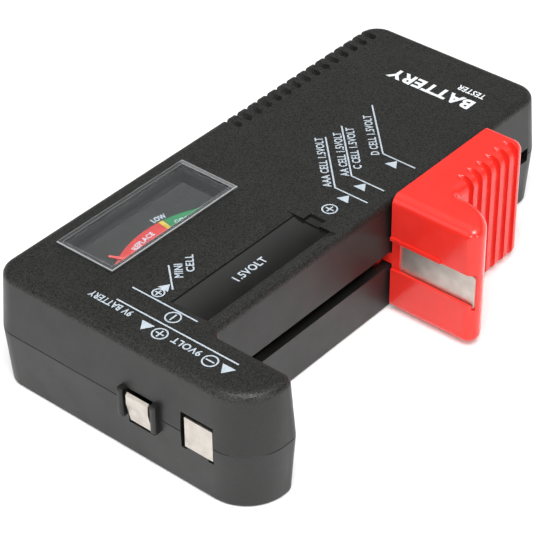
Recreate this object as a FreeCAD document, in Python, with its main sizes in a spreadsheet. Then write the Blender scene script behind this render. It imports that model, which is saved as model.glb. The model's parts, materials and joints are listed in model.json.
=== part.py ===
import FreeCAD, Part
import math
import os

import Sketcher

# Hand-held battery tester: an L-shaped two-part case, a sliding contact and a needle meter.
#
# Millimetres, +Z up. The origin is on the rest face, in the middle of the case's footprint.
# +X runs along the case from the end with the 9 V contacts to the far end. -Y is the side where
# the fixed arm and the slider stand out and a cell is held between them.

os.makedirs("parts", exist_ok=True)
doc = FreeCAD.newDocument("battery_tester")
Vector = FreeCAD.Vector

DIMENSIONS = {
    # case: a body 42 wide with a fixed arm that stands out to the full width
    "case_length": 108.0,
    "case_width": 60.0,
    "body_width": 42.0,
    "case_height": 24.2,
    "parting_height": 11.9,
    "arm_thickness": 12.3,
    "wall": 2.0,
    "top_draft": 3.0,
    "bottom_draft": 3.0,
    "corner_radius": 4.5,
    "arm_tip_radius": 8.5,
    "arm_inner_radius": 2.0,
    "arm_root_radius": 1.8,
    "top_edge_radius": 1.4,
    "bottom_edge_radius": 0.6,
    "seam_radius": 0.2,
    # slot that the slider's neck runs in
    "slot_bottom": 10.25,
    "slot_top": 13.2,
    "slot_start": -44.5,
    "slot_end": 49.3,
    # vent slots over the edge opposite the arm
    "vent_first": 7.5,
    "vent_pitch": 2.93,
    "vent_width": 1.6,
    "vent_inner": 25.8,
    "vent_bottom": 15.5,
    "vent_total": 15,
    # shallow battery-shaped trough in the top
    "trough_x": -40.6,
    "trough_length": 32.6,
    "trough_y": -4.6,
    "trough_width": 8.1,
    "trough_depth": 0.7,
    "trough_step": 0.35,
    "nub_length": 2.0,
    "nub_width": 3.6,
    # window of the meter
    "window_x": -41.26,
    "window_y": 12.28,
    "window_length": 32.8,
    "window_width": 13.43,
    "window_rim": 0.8,
    "window_proud": 0.6,
    "window_bevel": 0.12,
    "window_wall": 0.5,
    "window_wall_bottom": 20.35,
    "window_wall_gap": 21.5,
    # contacts in the end face
    "minus_bottom": 8.9,
    "minus_top": 16.1,
    "minus_y": -17.9,
    "minus_width": 7.1,
    "pad_shortfall": 0.85,
    "notch_width": 1.2,
    "notch_depth": 0.5,
    "plus_bottom": 7.2,
    "plus_top": 14.8,
    "plus_y": -5.25,
    "plus_width": 5.9,
    "plus_strip_width": 5.0,
    "plus_strip_top": 14.35,
    "plus_bow": 0.75,
    "fin_reach": 1.2,
    "fin_thickness": 1.25,
    "fin_gap": 0.15,
    "fin_bottom": 8.9,
    "fin_top": 14.8,
    "fin_edge_radius": 0.5,
    "strip_thickness": 0.4,
    # screws
    "post_radius": 3.0,
    "arm_post_radius": 2.6,
    "post_x": 47.2,
    "post_y": 23.0,
    "near_post_y": -2.5,
    "arm_post_x": -46.5,
    "arm_post_y": -24.6,
    "screw_radius": 1.1,
    "screw_clear_radius": 1.35,
    "head_radius": 2.0,
    "head_seat": 3.6,
    "screw_tip": 17.0,
    # slider
    "slider_front": 5.3,
    "slider_length": 29.9,
    "slider_inner": -12.35,
    "nose_y": -23.05,
    "nose_radius": 8.2,
    "slider_bottom": 1.0,
    "slider_top": 26.0,
    "grip_outer": -20.6,
    "slider_edge_radius": 1.9,
    "tip_corner_radius": 2.1,
    "grip_corner_radius": 2.4,
    "grip_hollow_radius": 1.2,
    "channel_bottom": 9.8,
    "channel_top": 16.4,
    "channel_depth": 1.15,
    "channel_inner": -14.1,
    "undercut_inset": 0.6,
    "undercut_depth": 1.2,
    "lip_height": 0.8,
    "lip_reach": 0.35,
    "lip_length": 11.2,
    "blade_inset": 0.75,
    "groove_first": 17.9,
    "groove_pitch": 2.8,
    "groove_radius": 0.8,
    "groove_total": 6,
    "groove_depth": 1.1,
    "groove_bend": 5.3,
    "groove_bend_z": 22.1,
    "groove_sweep": 75.0,
    "neck_x": 5.8,
    "neck_length": 27.8,
    "neck_bottom": 10.6,
    "neck_top": 12.95,
    "flange_x": 4.4,
    "flange_length": 29.2,
    "flange_inner": -8.9,
    "flange_outer": -9.9,
    "flange_bottom": 7.2,
    "flange_top": 16.2,
    # contact rail on the floor and the leaf that rubs on it
    "rail_x": -37.0,
    "rail_length": 72.0,
    "rail_y": -9.6,
    "rail_width": 4.0,
    "rail_thickness": 0.4,
    "rail_tab": 3.6,
    # meter: its upright axis and the movement around it
    "pivot_x": -24.9,
    "pivot_y": -3.0,
    "frame_x": -40.2,
    "frame_length": 30.6,
    "frame_y": -8.1,
    "frame_width": 34.3,
    "frame_bottom": 5.0,
    "frame_base": 1.2,
    "frame_wall": 1.2,
    "dial_y": 8.6,
    "dial_bottom": 19.7,
    "dial_thickness": 0.3,
    "dial_notch": 11.0,
    "core_radius": 2.6,
    "core_bottom": 9.3,
    "core_top": 16.3,
    "yoke_inner": 4.0,
    "yoke_outer": 5.0,
    "yoke_bottom": 9.5,
    "yoke_top": 16.1,
    "coil_inner": 2.95,
    "former_thickness": 0.2,
    "winding_thickness": 0.45,
    "coil_depth": 1.6,
    "coil_bottom": 8.3,
    "coil_top": 17.3,
    "pointer_rest": 25.0,
    "coil_lead": 27.0,
    "pointer_length": 24.4,
    "pointer_width": 0.7,
    "pointer_sheet": 0.22,
    "pointer_low": 17.6,
    "pointer_high": 20.4,
    "hub_radius": 0.9,
    "tail_length": 4.2,
    "pivot_radius": 0.25,
    "bearing_radius": 1.1,
    "bridge_bottom": 19.0,
    "bridge_thickness": 0.8,
    "bridge_reach": 8.2,
    "terminal_inset": 2.9,
    "terminal_y": 3.0,
    "terminal_foot_radius": 1.3,
    # resistors and leads
    "wire_radius": 0.6,
    "resistor_radius": 1.3,
    "resistor_length": 6.8,
    "resistor_lead": 0.3,
}

sheet = doc.addObject("Spreadsheet::Sheet", "Sheet")
for row, (alias, number) in enumerate(DIMENSIONS.items(), start=1):
    sheet.set("A%d" % row, alias)
    sheet.set("B%d" % row, str(number))
    sheet.setAlias("B%d" % row, alias)
doc.recompute()


def size(alias):
    """A cell's number, for code that works geometry out itself."""
    return float(getattr(sheet, alias))


def bind(target, **formulas):
    """Bind properties of an object to formulas in the sheet's names."""
    for name, formula in formulas.items():
        target.setExpression(name.replace("__", "."), linked(formula))


def linked(formula):
    """Write a formula's plain names as references to the sheet."""
    words = []
    word = ""
    for letter in str(formula) + " ":
        if letter.isalnum() or letter in "_.":
            word += letter
            continue
        words.append("Sheet." + word if word in DIMENSIONS else word)
        words.append(letter)
        word = ""
    return "".join(words).strip()


def new_body(label):
    body = doc.addObject("PartDesign::Body", label)
    body.Label = label
    return body


def origin_feature(body, role):
    return [item for item in body.Origin.OriginFeatures if item.Role == role][0]


def place(feature, x, y, z):
    bind(feature, Placement__Base__x=x, Placement__Base__y=y, Placement__Base__z=z)


def box(body, kind, name, x, y, z, length, width, height):
    """An additive or subtractive box with its low corner at x, y, z."""
    feature = body.newObject("PartDesign::" + kind + "Box", name)
    bind(feature, Length=length, Width=width, Height=height)
    place(feature, x, y, z)
    return feature


def cylinder(body, kind, name, x, y, z, radius, height, axis="Z"):
    """An additive or subtractive cylinder that starts at x, y, z and runs along axis."""
    feature = body.newObject("PartDesign::" + kind + "Cylinder", name)
    bind(feature, Radius=radius, Height=height)
    turns = {"Z": (0, 0, 1, 0), "X": (0, 1, 0, 90), "Y": (1, 0, 0, -90)}
    turn_x, turn_y, turn_z, angle = turns[axis]
    feature.Placement = FreeCAD.Placement(Vector(), FreeCAD.Rotation(Vector(turn_x, turn_y, turn_z), angle))
    place(feature, x, y, z)
    return feature


def sketch_on(body, name, role, offset="0"):
    """A sketch on one of the body's own origin planes, moved along that plane's normal."""
    sketch = body.newObject("Sketcher::SketchObject", name)
    sketch.AttachmentSupport = [(origin_feature(body, role), "")]
    sketch.MapMode = "FlatFace"
    bind(sketch, AttachmentOffset__Base__z=offset)
    return sketch


def polygon(sketch, corners):
    """A closed loop of straight lines. Each corner is a pair of formulas, dimensioned from the origin."""
    total = len(corners)
    first = sketch.GeometryCount
    starts = []
    for index in range(total):
        turn = 2.0 * math.pi * index / total
        starts.append(Vector(20.0 * math.cos(turn), 20.0 * math.sin(turn), 0.0))
    for index in range(total):
        sketch.addGeometry(Part.LineSegment(starts[index], starts[(index + 1) % total]), False)
    for index in range(total):
        after = first + (index + 1) % total
        sketch.addConstraint(Sketcher.Constraint("Coincident", first + index, 2, after, 1))
    for index, (across, up) in enumerate(corners):
        line = first + index
        dimension(sketch, "DistanceX", (-1, 1, line, 1), starts[index].x, across)
        dimension(sketch, "DistanceY", (-1, 1, line, 1), starts[index].y, up)


def dimension(sketch, kind, items, start, formula):
    """Add a sketch dimension that follows a formula in the sheet's names."""
    number = sketch.addConstraint(Sketcher.Constraint(kind, *items, start))
    sketch.setExpression("Constraints[%d]" % number, linked(formula))


def pad(body, sketch, name, length, draft=None, reversed_way=False):
    feature = body.newObject("PartDesign::Pad", name)
    feature.Profile = sketch
    feature.Reversed = reversed_way
    bind(feature, Length=length)
    if draft:
        bind(feature, TaperAngle=draft)
    return feature


def pocket(body, sketch, name, length, reversed_way=False):
    feature = body.newObject("PartDesign::Pocket", name)
    feature.Profile = sketch
    feature.Reversed = reversed_way
    bind(feature, Length=length)
    return feature


def edges_where(body, test):
    """Names of the edges of a body's tip for which test(edge) holds."""
    doc.recompute()
    shape = body.Tip.Shape
    return ["Edge%d" % (i + 1) for i, edge in enumerate(shape.Edges) if test(edge)]


def round_edges(body, name, radius, test):
    """Fillet the edges of the body's tip for which test(edge) holds."""
    names = edges_where(body, test)
    if not names:
        raise RuntimeError("no edges to round: " + name)
    base = body.Tip
    feature = body.newObject("PartDesign::Fillet", name)
    feature.Base = (base, names)
    bind(feature, Radius=radius)
    doc.recompute()
    return feature


def level(edge, z):
    """Whether the whole of an edge lies at one height."""
    ends_there = all(abs(vertex.Point.z - z) < 1e-4 for vertex in edge.Vertexes)
    return ends_there and abs(middle(edge).z - z) < 1e-4


def middle(edge):
    return edge.valueAt((edge.FirstParameter + edge.LastParameter) / 2.0)


def upright(edge):
    """Whether an edge climbs, as a wall's corner does even with draft."""
    low = edge.Vertexes[0].Point
    high = edge.Vertexes[-1].Point
    rise = abs(high.z - low.z)
    return rise > 2.0 and math.hypot(high.x - low.x, high.y - low.y) < 0.3 * rise


def near(point, x, y, reach):
    return math.hypot(point.x - x, point.y - y) < reach


def repeat_along_x(body, name, originals, pitch, total):
    feature = body.newObject("PartDesign::LinearPattern", name)
    feature.Originals = originals
    feature.Direction = (origin_feature(body, "X_Axis"), [""])
    bind(feature, Length="%s * (%s - 1)" % (pitch, total), Occurrences=total)
    body.Tip = feature
    return feature


def case_outline(body, name, offset, inset, length, draft, cut=False, upward=True):
    """Pad or pocket the L of the case in two overlapping rectangles, inset from its outline."""
    left = "-case_length / 2 + %s" % inset
    right = "case_length / 2 - %s" % inset
    back = "case_width / 2 - %s" % inset
    slot_side = "case_width / 2 - body_width + %s" % inset
    arm_tip = "-case_width / 2 + %s" % inset
    arm_inner = "-case_length / 2 + arm_thickness - %s" % inset
    overlap = "case_width / 2 - body_width + 3 * wall"
    loops = {
        "body": [(left, slot_side), (right, slot_side), (right, back), (left, back)],
        "arm": [(left, arm_tip), (arm_inner, arm_tip), (arm_inner, overlap), (left, overlap)],
    }
    if cut:
        # inside each round corner the cavity is cut off at 45 degrees, so the wall keeps its thickness
        tip_cut = "(arm_tip_radius - wall) * (2 - sqrt(2))"
        cut_off = "(corner_radius - wall) * (2 - sqrt(2))"
        loops["arm"][0:1] = [(left, arm_tip + " + " + tip_cut), (left + " + " + tip_cut, arm_tip)]
        loops["body"][1:] = [
            (right + " - " + cut_off, slot_side), (right, slot_side + " + " + cut_off),
            (right, back + " - " + cut_off), (right + " - " + cut_off, back),
            (left + " + " + cut_off, back), (left, back + " - " + cut_off),
        ]
    for part, corners in loops.items():
        sketch = sketch_on(body, "%s_%s_sketch" % (name, part), "XY_Plane", offset)
        polygon(sketch, corners)
        if cut:
            pocket(body, sketch, "%s_%s" % (name, part), length, upward)
        else:
            pad(body, sketch, "%s_%s" % (name, part), length, draft, not upward)


def round_case(body):
    """Round the upright corners of the case and break its outer edge at the parting line."""
    half_length = size("case_length") / 2.0
    half_width = size("case_width") / 2.0
    slot_side = half_width - size("body_width")
    arm_inner = size("arm_thickness") - half_length
    corners = {
        "corner": [(-half_length, half_width), (half_length, half_width), (half_length, slot_side)],
        "arm_tip": [(-half_length, -half_width)],
        "arm_inner": [(arm_inner, -half_width)],
        "arm_root": [(arm_inner, slot_side)],
    }
    for which, places in corners.items():
        round_edges(body, "outside_" + which, which + "_radius",
                    lambda edge: upright(edge) and any(near(middle(edge), x, y, 1.4) for x, y in places))
    seam = size("parting_height")
    round_edges(body, "seam", "seam_radius", lambda edge: level(edge, seam))


def shell_openings(body, name, bottom, top):
    """Cut the slider's slot and the windows for the contacts where they fall between two heights."""
    slot_low = "max(slot_bottom; %s)" % bottom
    slot_high = "min(slot_top; %s)" % top
    slot_side = "case_width / 2 - body_width"
    box(body, "Subtractive", name + "_slot", "slot_start", slot_side + " - 0.6", slot_low,
        "slot_end - slot_start", "wall + 0.8", "%s - %s" % (slot_high, slot_low))
    for sign in ("minus", "plus"):
        low = "max(%s_bottom; %s)" % (sign, bottom)
        high = "min(%s_top; %s)" % (sign, top)
        box(body, "Subtractive", "%s_%s_window" % (name, sign), "-case_length / 2 - 2",
            "%s_y - %s_width / 2" % (sign, sign), low, "wall + 2.2", sign + "_width", "%s - %s" % (high, low))
    low = "max(minus_bottom; %s)" % bottom
    high = "min(minus_top; %s)" % top
    box(body, "Subtractive", name + "_cell_window", "-case_length / 2 + arm_thickness - wall - 0.2",
        "minus_y - minus_width / 2", low, "wall + 2", "minus_width", "%s - %s" % (high, low))


def shell_fins(body, name, bottom, top):
    """Two upright fins that guide a 9 V block's snap onto the plus contact."""
    low = "max(fin_bottom; %s)" % bottom
    high = "min(fin_top; %s)" % top
    sides = {
        "far": "plus_y + plus_width / 2 + fin_gap",
        "near": "plus_y - plus_width / 2 - fin_gap - fin_thickness",
    }
    for side, start in sides.items():
        box(body, "Additive", "%s_fin_%s" % (name, side), "-case_length / 2 - fin_reach", start, low,
            "fin_reach + 1", "fin_thickness", "%s - %s" % (high, low))
    outer = -size("case_length") / 2.0 - size("fin_reach")
    round_edges(body, name + "_fin_edges", "fin_edge_radius",
                lambda edge: abs(middle(edge).x - outer) < 0.01 and not level(edge, size("parting_height")))


def screw_places():
    """The four case screws: (name, x formula, y formula, post radius formula)."""
    return [
        ("back_near", "-post_x", "post_y", "post_radius"),
        ("back_far", "post_x", "post_y", "post_radius"),
        ("slot_far", "post_x", "near_post_y", "post_radius"),
        ("arm", "arm_post_x", "arm_post_y", "arm_post_radius"),
    ]


def make_upper_shell():
    body = new_body("upper_shell")
    rise = "case_height - parting_height"
    case_outline(body, "outside", "parting_height", "0", rise, "-top_draft")
    round_case(body)
    top = size("case_height")
    round_edges(body, "top_edge", "top_edge_radius", lambda edge: level(edge, top))
    case_outline(body, "inside", "parting_height", "wall", rise + " - wall", None, cut=True)
    shell_fins(body, "upper", "parting_height", "case_height")
    for name, x, y, radius in screw_places():
        cylinder(body, "Additive", "boss_" + name, x, y, "parting_height", radius, rise + " - 1")
        cylinder(body, "Subtractive", "pilot_" + name, x, y, "parting_height - 1", "screw_radius - 0.05",
                 "screw_tip - parting_height + 2")
    box(body, "Subtractive", "trough_top", "trough_x", "trough_y - trough_width / 2",
        "case_height - trough_step", "trough_length", "trough_width", "2")
    sag = "(trough_depth - trough_step)"
    hollow = "(trough_width * trough_width / 4 + %s * %s) / (2 * %s)" % (sag, sag, sag)
    cylinder(body, "Subtractive", "trough_hollow", "trough_x", "trough_y",
             "case_height - trough_depth + %s" % hollow, hollow, "trough_length", axis="X")
    box(body, "Subtractive", "trough_nub", "trough_x + trough_length - 0.5", "trough_y - nub_width / 2",
        "case_height - trough_depth * 0.6", "nub_length + 0.5", "nub_width", "3")
    box(body, "Subtractive", "window_opening", "window_x + window_rim - 0.15", "window_y + window_rim - 0.15",
        "case_height - wall - 2", "window_length - 2 * window_rim + 0.3", "window_width - 2 * window_rim + 0.3",
        "wall + 4")
    shell_openings(body, "upper", "parting_height", "case_height")
    cut = box(body, "Subtractive", "vent_cut", "vent_first - vent_width / 2", "vent_inner", "vent_bottom",
              "vent_width", "case_width / 2 - vent_inner + 1", "case_height - vent_bottom + 1")
    end = cylinder(body, "Subtractive", "vent_end", "vent_first", "vent_inner", "vent_bottom",
                   "vent_width / 2", "case_height - vent_bottom + 1")
    doc.recompute()
    repeat_along_x(body, "vents", [cut, end], "vent_pitch", "vent_total")


def make_lower_shell():
    body = new_body("lower_shell")
    case_outline(body, "outside", "parting_height", "0", "parting_height", "-bottom_draft", upward=False)
    round_case(body)
    round_edges(body, "bottom_edge", "bottom_edge_radius", lambda edge: level(edge, 0.0))
    case_outline(body, "inside", "parting_height", "wall", "parting_height - wall", None, cut=True, upward=False)
    shell_fins(body, "lower", "wall", "parting_height")
    for name, x, y, radius in screw_places():
        cylinder(body, "Additive", "post_" + name, x, y, "wall - 1", radius, "parting_height - wall + 1")
        cylinder(body, "Subtractive", "clear_" + name, x, y, "-1", "screw_clear_radius", "parting_height + 2")
        cylinder(body, "Subtractive", "head_" + name, x, y, "-1", "head_radius + 0.25", "head_seat + 1")
    for name, x, y in (("a", "frame_x + 2.4", "-1"), ("b", "frame_x + frame_length - 2.4", "-1"),
                       ("c", "frame_x + 2.4", "frame_y + frame_width - 3"),
                       ("d", "frame_x + frame_length - 2.4", "frame_y + frame_width - 3")):
        cylinder(body, "Additive", "meter_post_" + name, x, y, "wall - 1", "1.8", "frame_bottom - wall + 1")
    for name, x in rail_tabs():
        cylinder(body, "Subtractive", "rail_pilot_" + name, "%s + rail_tab / 2" % x, rail_screw_y(),
                 "wall - 1.4", "0.65", "3")
    shell_openings(body, "lower", "0", "parting_height")
    for name, start in (("far", "minus_y + minus_width / 2 - notch_width"), ("near", "minus_y - minus_width / 2")):
        box(body, "Subtractive", "notch_" + name, "-case_length / 2 - 2", start, "minus_bottom - notch_depth",
            "wall + 2.2", "notch_width", "notch_depth + 1")


def rail_tabs():
    return [("near", "rail_x"), ("far", "rail_x + rail_length - rail_tab")]


def rail_screw_y():
    return "rail_y + rail_width + rail_tab / 2"


def make_window():
    body = new_body("meter_window")
    box(body, "Additive", "plate", "window_x", "window_y", "case_height", "window_length", "window_width",
        "window_proud")
    top = size("case_height") + size("window_proud")
    base = body.Tip
    names = edges_where(body, lambda edge: level(edge, top))
    bevel = body.newObject("PartDesign::Chamfer", "bevel")
    bevel.Base = (base, names)
    bind(bevel, Size="window_bevel")
    box(body, "Additive", "skirt", "window_x + window_rim", "window_y + window_rim", "window_wall_bottom",
        "window_length - 2 * window_rim", "window_width - 2 * window_rim", "case_height - window_wall_bottom")
    box(body, "Subtractive", "inside", "window_x + window_rim + window_wall", "window_y + window_rim + window_wall",
        "window_wall_bottom - 1", "window_length - 2 * window_rim - 2 * window_wall",
        "window_width - 2 * window_rim - 2 * window_wall",
        "case_height - window_wall_bottom + 1 - 0.6")
    box(body, "Subtractive", "pointer_way", "window_x + window_rim + window_wall", "window_y",
        "window_wall_bottom - 1", "window_length - 2 * window_rim - 2 * window_wall", "window_wall + window_rim + 0.5",
        "window_wall_gap - window_wall_bottom + 1")


def slider_plan(body):
    """The slider seen from above: a flat front that ends in a quarter-round nose, and a grip behind it."""
    sketch = sketch_on(body, "plan", "XY_Plane", "slider_bottom")
    front = size("slider_front")
    radius = size("nose_radius")
    nose_y = size("nose_y")
    inner = size("slider_inner")
    outer = size("grip_outer")
    rear = front + size("slider_length")
    runs = [
        (front, inner, front, nose_y - radius),
        (front + radius, nose_y, front + radius, outer),
        (front + radius, outer, rear, outer),
        (rear, outer, rear, inner),
        (rear, inner, front, inner),
    ]
    for x_start, y_start, x_end, y_end in runs:
        sketch.addGeometry(Part.LineSegment(Vector(x_start, y_start, 0), Vector(x_end, y_end, 0)), False)
    circle = Part.Circle(Vector(front, nose_y, 0), Vector(0, 0, 1), radius)
    nose = sketch.addGeometry(Part.ArcOfCircle(circle, -math.pi / 2.0, 0.0), False)
    sketch.addConstraint(Sketcher.Constraint("Coincident", 0, 2, nose, 1))
    sketch.addConstraint(Sketcher.Constraint("Tangent", nose, 2, 1, 1))
    for line in (1, 2, 3):
        sketch.addConstraint(Sketcher.Constraint("Coincident", line, 2, line + 1, 1))
    sketch.addConstraint(Sketcher.Constraint("Coincident", 4, 2, 0, 1))
    for line in (0, 3):
        sketch.addConstraint(Sketcher.Constraint("Vertical", line))
    for line in (2, 4):
        sketch.addConstraint(Sketcher.Constraint("Horizontal", line))
    dimension(sketch, "DistanceX", (-1, 1, nose, 3), front, "slider_front")
    dimension(sketch, "DistanceY", (-1, 1, nose, 3), nose_y, "nose_y")
    dimension(sketch, "Radius", (nose,), radius, "nose_radius")
    dimension(sketch, "DistanceX", (-1, 1, 0, 1), front, "slider_front")
    dimension(sketch, "DistanceY", (-1, 1, 0, 1), inner, "slider_inner")
    dimension(sketch, "DistanceY", (-1, 1, 2, 1), outer, "grip_outer")
    dimension(sketch, "DistanceX", (-1, 1, 3, 1), rear, "slider_front + slider_length")
    return sketch


def make_slider():
    body = new_body("slider")
    pad(body, slider_plan(body), "block", "slider_top - slider_bottom")
    front = size("slider_front")
    tip = size("nose_y") - size("nose_radius")
    nose_back = front + size("nose_radius")
    rear = front + size("slider_length")
    outer = size("grip_outer")
    for name, x, y in (("tip_corner", front, tip), ("grip_corner", rear, outer), ("grip_hollow", nose_back, outer)):
        round_edges(body, name, name + "_radius", lambda edge: upright(edge) and near(middle(edge), x, y, 0.1))
    inner = size("slider_inner")
    top = size("slider_top")
    bottom = size("slider_bottom")
    round_edges(body, "top_edges", "slider_edge_radius",
                lambda edge: level(edge, top) and middle(edge).y < inner - 0.01)
    round_edges(body, "bottom_edges", "slider_edge_radius * 0.7",
                lambda edge: level(edge, bottom) and middle(edge).y < inner - 0.01)
    box(body, "Additive", "lip", "slider_front - lip_reach", "slider_inner - lip_length", "channel_top - 0.05",
        "lip_reach + 0.5", "lip_length", "lip_height")
    past_tip = "nose_y - nose_radius - 1"
    box(body, "Subtractive", "channel", "slider_front - 1", past_tip, "channel_bottom",
        "channel_depth + 1", "channel_inner - (%s)" % past_tip, "channel_top - channel_bottom")
    box(body, "Subtractive", "undercut", "slider_front + undercut_inset", past_tip, "channel_bottom - undercut_depth",
        "channel_depth - undercut_inset", "channel_inner - (%s)" % past_tip, "undercut_depth + 0.1")
    box(body, "Subtractive", "channel_end", "slider_front - 1", "channel_inner - 0.5", "channel_bottom",
        "1.4", "slider_inner - channel_inner + 1", "channel_top - channel_bottom")
    cut_grip_grooves(body)
    box(body, "Additive", "neck", "neck_x", "slider_inner - 0.6", "neck_bottom", "neck_length",
        "flange_inner - slider_inner + 0.6", "neck_top - neck_bottom")
    box(body, "Additive", "flange", "flange_x", "flange_outer", "flange_bottom", "flange_length",
        "flange_inner - flange_outer", "flange_top - flange_bottom")
    box(body, "Subtractive", "slit", strip_front() + " - 0.05", "channel_inner - 0.5", "neck_bottom - 0.1",
        "strip_thickness + 0.1", "flange_inner - channel_inner + 1", "neck_top - neck_bottom + 0.2")


def strip_front():
    """X of the front of the slider's contact strip, which lies on the back wall of its channel."""
    return "slider_front + channel_depth - strip_thickness"


def groove_path(body):
    """The middle of a groove's round bottom: straight up the outer face, then curving in over the top edge."""
    sketch = sketch_on(body, "groove_path", "YZ_Plane", "groove_first")
    bend = size("groove_bend")
    bend_z = size("groove_bend_z")
    low = size("slider_bottom") - 1.0
    middle_y = size("grip_outer") + size("groove_depth") - size("groove_radius")
    sweep = math.radians(size("groove_sweep"))
    circle = Part.Circle(Vector(middle_y + bend, bend_z, 0), Vector(0, 0, 1), bend)
    sketch.addGeometry(Part.LineSegment(Vector(middle_y, low, 0), Vector(middle_y, bend_z, 0)), False)
    sketch.addGeometry(Part.ArcOfCircle(circle, math.pi - sweep, math.pi), False)
    sketch.addConstraint(Sketcher.Constraint("Tangent", 0, 2, 1, 2))
    sketch.addConstraint(Sketcher.Constraint("Vertical", 0))
    dimension(sketch, "DistanceX", (-1, 1, 0, 1), middle_y, "grip_outer + groove_depth - groove_radius")
    dimension(sketch, "DistanceY", (-1, 1, 0, 1), low, "slider_bottom - 1")
    dimension(sketch, "DistanceY", (-1, 1, 0, 2), bend_z, "groove_bend_z")
    dimension(sketch, "Radius", (1,), bend, "groove_bend")
    end_z = bend_z + bend * math.sin(sweep)
    dimension(sketch, "DistanceY", (-1, 1, 1, 1), end_z, "groove_bend_z + groove_bend * sin(groove_sweep)")
    return sketch


def groove_section(body):
    """A groove cut across: parallel sides that are open outwards, and a round bottom."""
    sketch = sketch_on(body, "groove_section", "XY_Plane", "slider_bottom - 1")
    x = size("groove_first")
    radius = size("groove_radius")
    middle_y = size("grip_outer") + size("groove_depth") - radius
    outer = size("grip_outer") - 1.0
    corners = [Vector(x - radius, middle_y, 0), Vector(x - radius, outer, 0), Vector(x + radius, outer, 0),
               Vector(x + radius, middle_y, 0)]
    for start, end in zip(corners, corners[1:]):
        sketch.addGeometry(Part.LineSegment(start, end), False)
    circle = Part.Circle(Vector(x, middle_y, 0), Vector(0, 0, 1), radius)
    sketch.addGeometry(Part.ArcOfCircle(circle, 0.0, math.pi), False)
    sketch.addConstraint(Sketcher.Constraint("Coincident", 0, 2, 1, 1))
    sketch.addConstraint(Sketcher.Constraint("Coincident", 1, 2, 2, 1))
    sketch.addConstraint(Sketcher.Constraint("Tangent", 2, 2, 3, 1))
    sketch.addConstraint(Sketcher.Constraint("Tangent", 3, 2, 0, 1))
    sketch.addConstraint(Sketcher.Constraint("Vertical", 0))
    sketch.addConstraint(Sketcher.Constraint("Horizontal", 1))
    dimension(sketch, "DistanceX", (-1, 1, 3, 3), x, "groove_first")
    dimension(sketch, "DistanceY", (-1, 1, 3, 3), middle_y, "grip_outer + groove_depth - groove_radius")
    dimension(sketch, "Radius", (3,), radius, "groove_radius")
    dimension(sketch, "DistanceY", (-1, 1, 0, 2), outer, "grip_outer - 1")
    return sketch


def cut_grip_grooves(body):
    """Sweep one groove out of the grip and repeat it."""
    path = groove_path(body)
    section = groove_section(body)
    doc.recompute()
    groove = body.newObject("PartDesign::SubtractivePipe", "groove")
    groove.Profile = section
    groove.Spine = (path, [])
    doc.recompute()
    repeat_along_x(body, "grooves", [groove], "groove_pitch", "groove_total")


def make_slider_contact():
    """A flat strip in the slider's channel, a tongue through its neck and a leaf that rubs on the rail."""
    body = new_body("slider_contact")
    front = strip_front()
    end = "nose_y - nose_radius + blade_inset"
    low = "channel_bottom - undercut_depth + 0.15"
    box(body, "Additive", "blade", front, end, low, "strip_thickness", "channel_inner - (%s)" % end,
        "channel_top - 0.2 - (%s)" % low)
    tip = size("nose_y") - size("nose_radius") + size("blade_inset")
    round_edges(body, "blade_corners", "0.9",
                lambda edge: abs(middle(edge).y - tip) < 0.01 and edge.Length < 0.5)
    box(body, "Additive", "tongue", front, "channel_inner - 0.5", "neck_bottom + 0.1", "strip_thickness",
        "flange_inner - channel_inner + 0.5 + strip_thickness", "neck_top - neck_bottom - 0.25")
    leg_low = rail_top() + " + 1.6"
    box(body, "Additive", "leg", front, "flange_inner", leg_low, "4", "strip_thickness",
        "neck_top - 0.15 - (%s)" % leg_low)
    sketch = sketch_on(body, "leaf_sketch", "XZ_Plane", "-flange_inner - 2.4")
    start = front + " + 1"
    base = rail_top() + " + 1.6"
    low = rail_top() + " + 0.06"
    polygon(sketch, [
        (start, base),
        (front + " + 4", base),
        (front + " + 9.5", low),
        (front + " + 10.5", low),
        (front + " + 12.0", low + " + 0.7"),
        (front + " + 12.0", low + " + 1.05"),
        (front + " + 10.4", low + " + 0.3"),
        (front + " + 9.6", low + " + 0.3"),
        (front + " + 4", base + " + 0.35"),
        (start, base + " + 0.35"),
    ])
    pad(body, sketch, "leaf", "2.4")


def rail_top():
    return "wall + rail_thickness"


def make_contact_rail():
    body = new_body("contact_rail")
    box(body, "Additive", "strip", "rail_x", "rail_y", "wall", "rail_length", "rail_width", "rail_thickness")
    for name, x in rail_tabs():
        box(body, "Additive", "tab_" + name, x, "rail_y + rail_width - 0.5", "wall", "rail_tab",
            "rail_tab + 0.5", "rail_thickness")
        cylinder(body, "Subtractive", "hole_" + name, "%s + rail_tab / 2" % x, rail_screw_y(), "wall - 1",
                 "0.95", "3")


def make_negative_contact():
    """One bent strip: its ends are the 9 V minus pad and the fixed contact for a cell."""
    body = new_body("negative_contact")
    near_face = "-case_length / 2 + 0.15"
    cell_face = "-case_length / 2 + arm_thickness + 0.45"
    low = "minus_bottom + 0.1"
    tall = "minus_top - minus_bottom - pad_shortfall"
    start = "minus_y - minus_width / 2 + 0.15"
    width = "minus_width - 0.95"
    box(body, "Additive", "nine_volt_pad", near_face, start, low, "strip_thickness", width, tall)
    box(body, "Additive", "cell_pad", cell_face + " - strip_thickness", start, low, "strip_thickness", width, tall)
    box(body, "Additive", "bridge", near_face, "minus_y - 2", low, cell_face + " - (" + near_face + ")", "4",
        "strip_thickness")
    box(body, "Additive", "solder_tag", "-case_length / 2 + 5", "minus_y", low, "2.4", "4.2", "strip_thickness")


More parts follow.
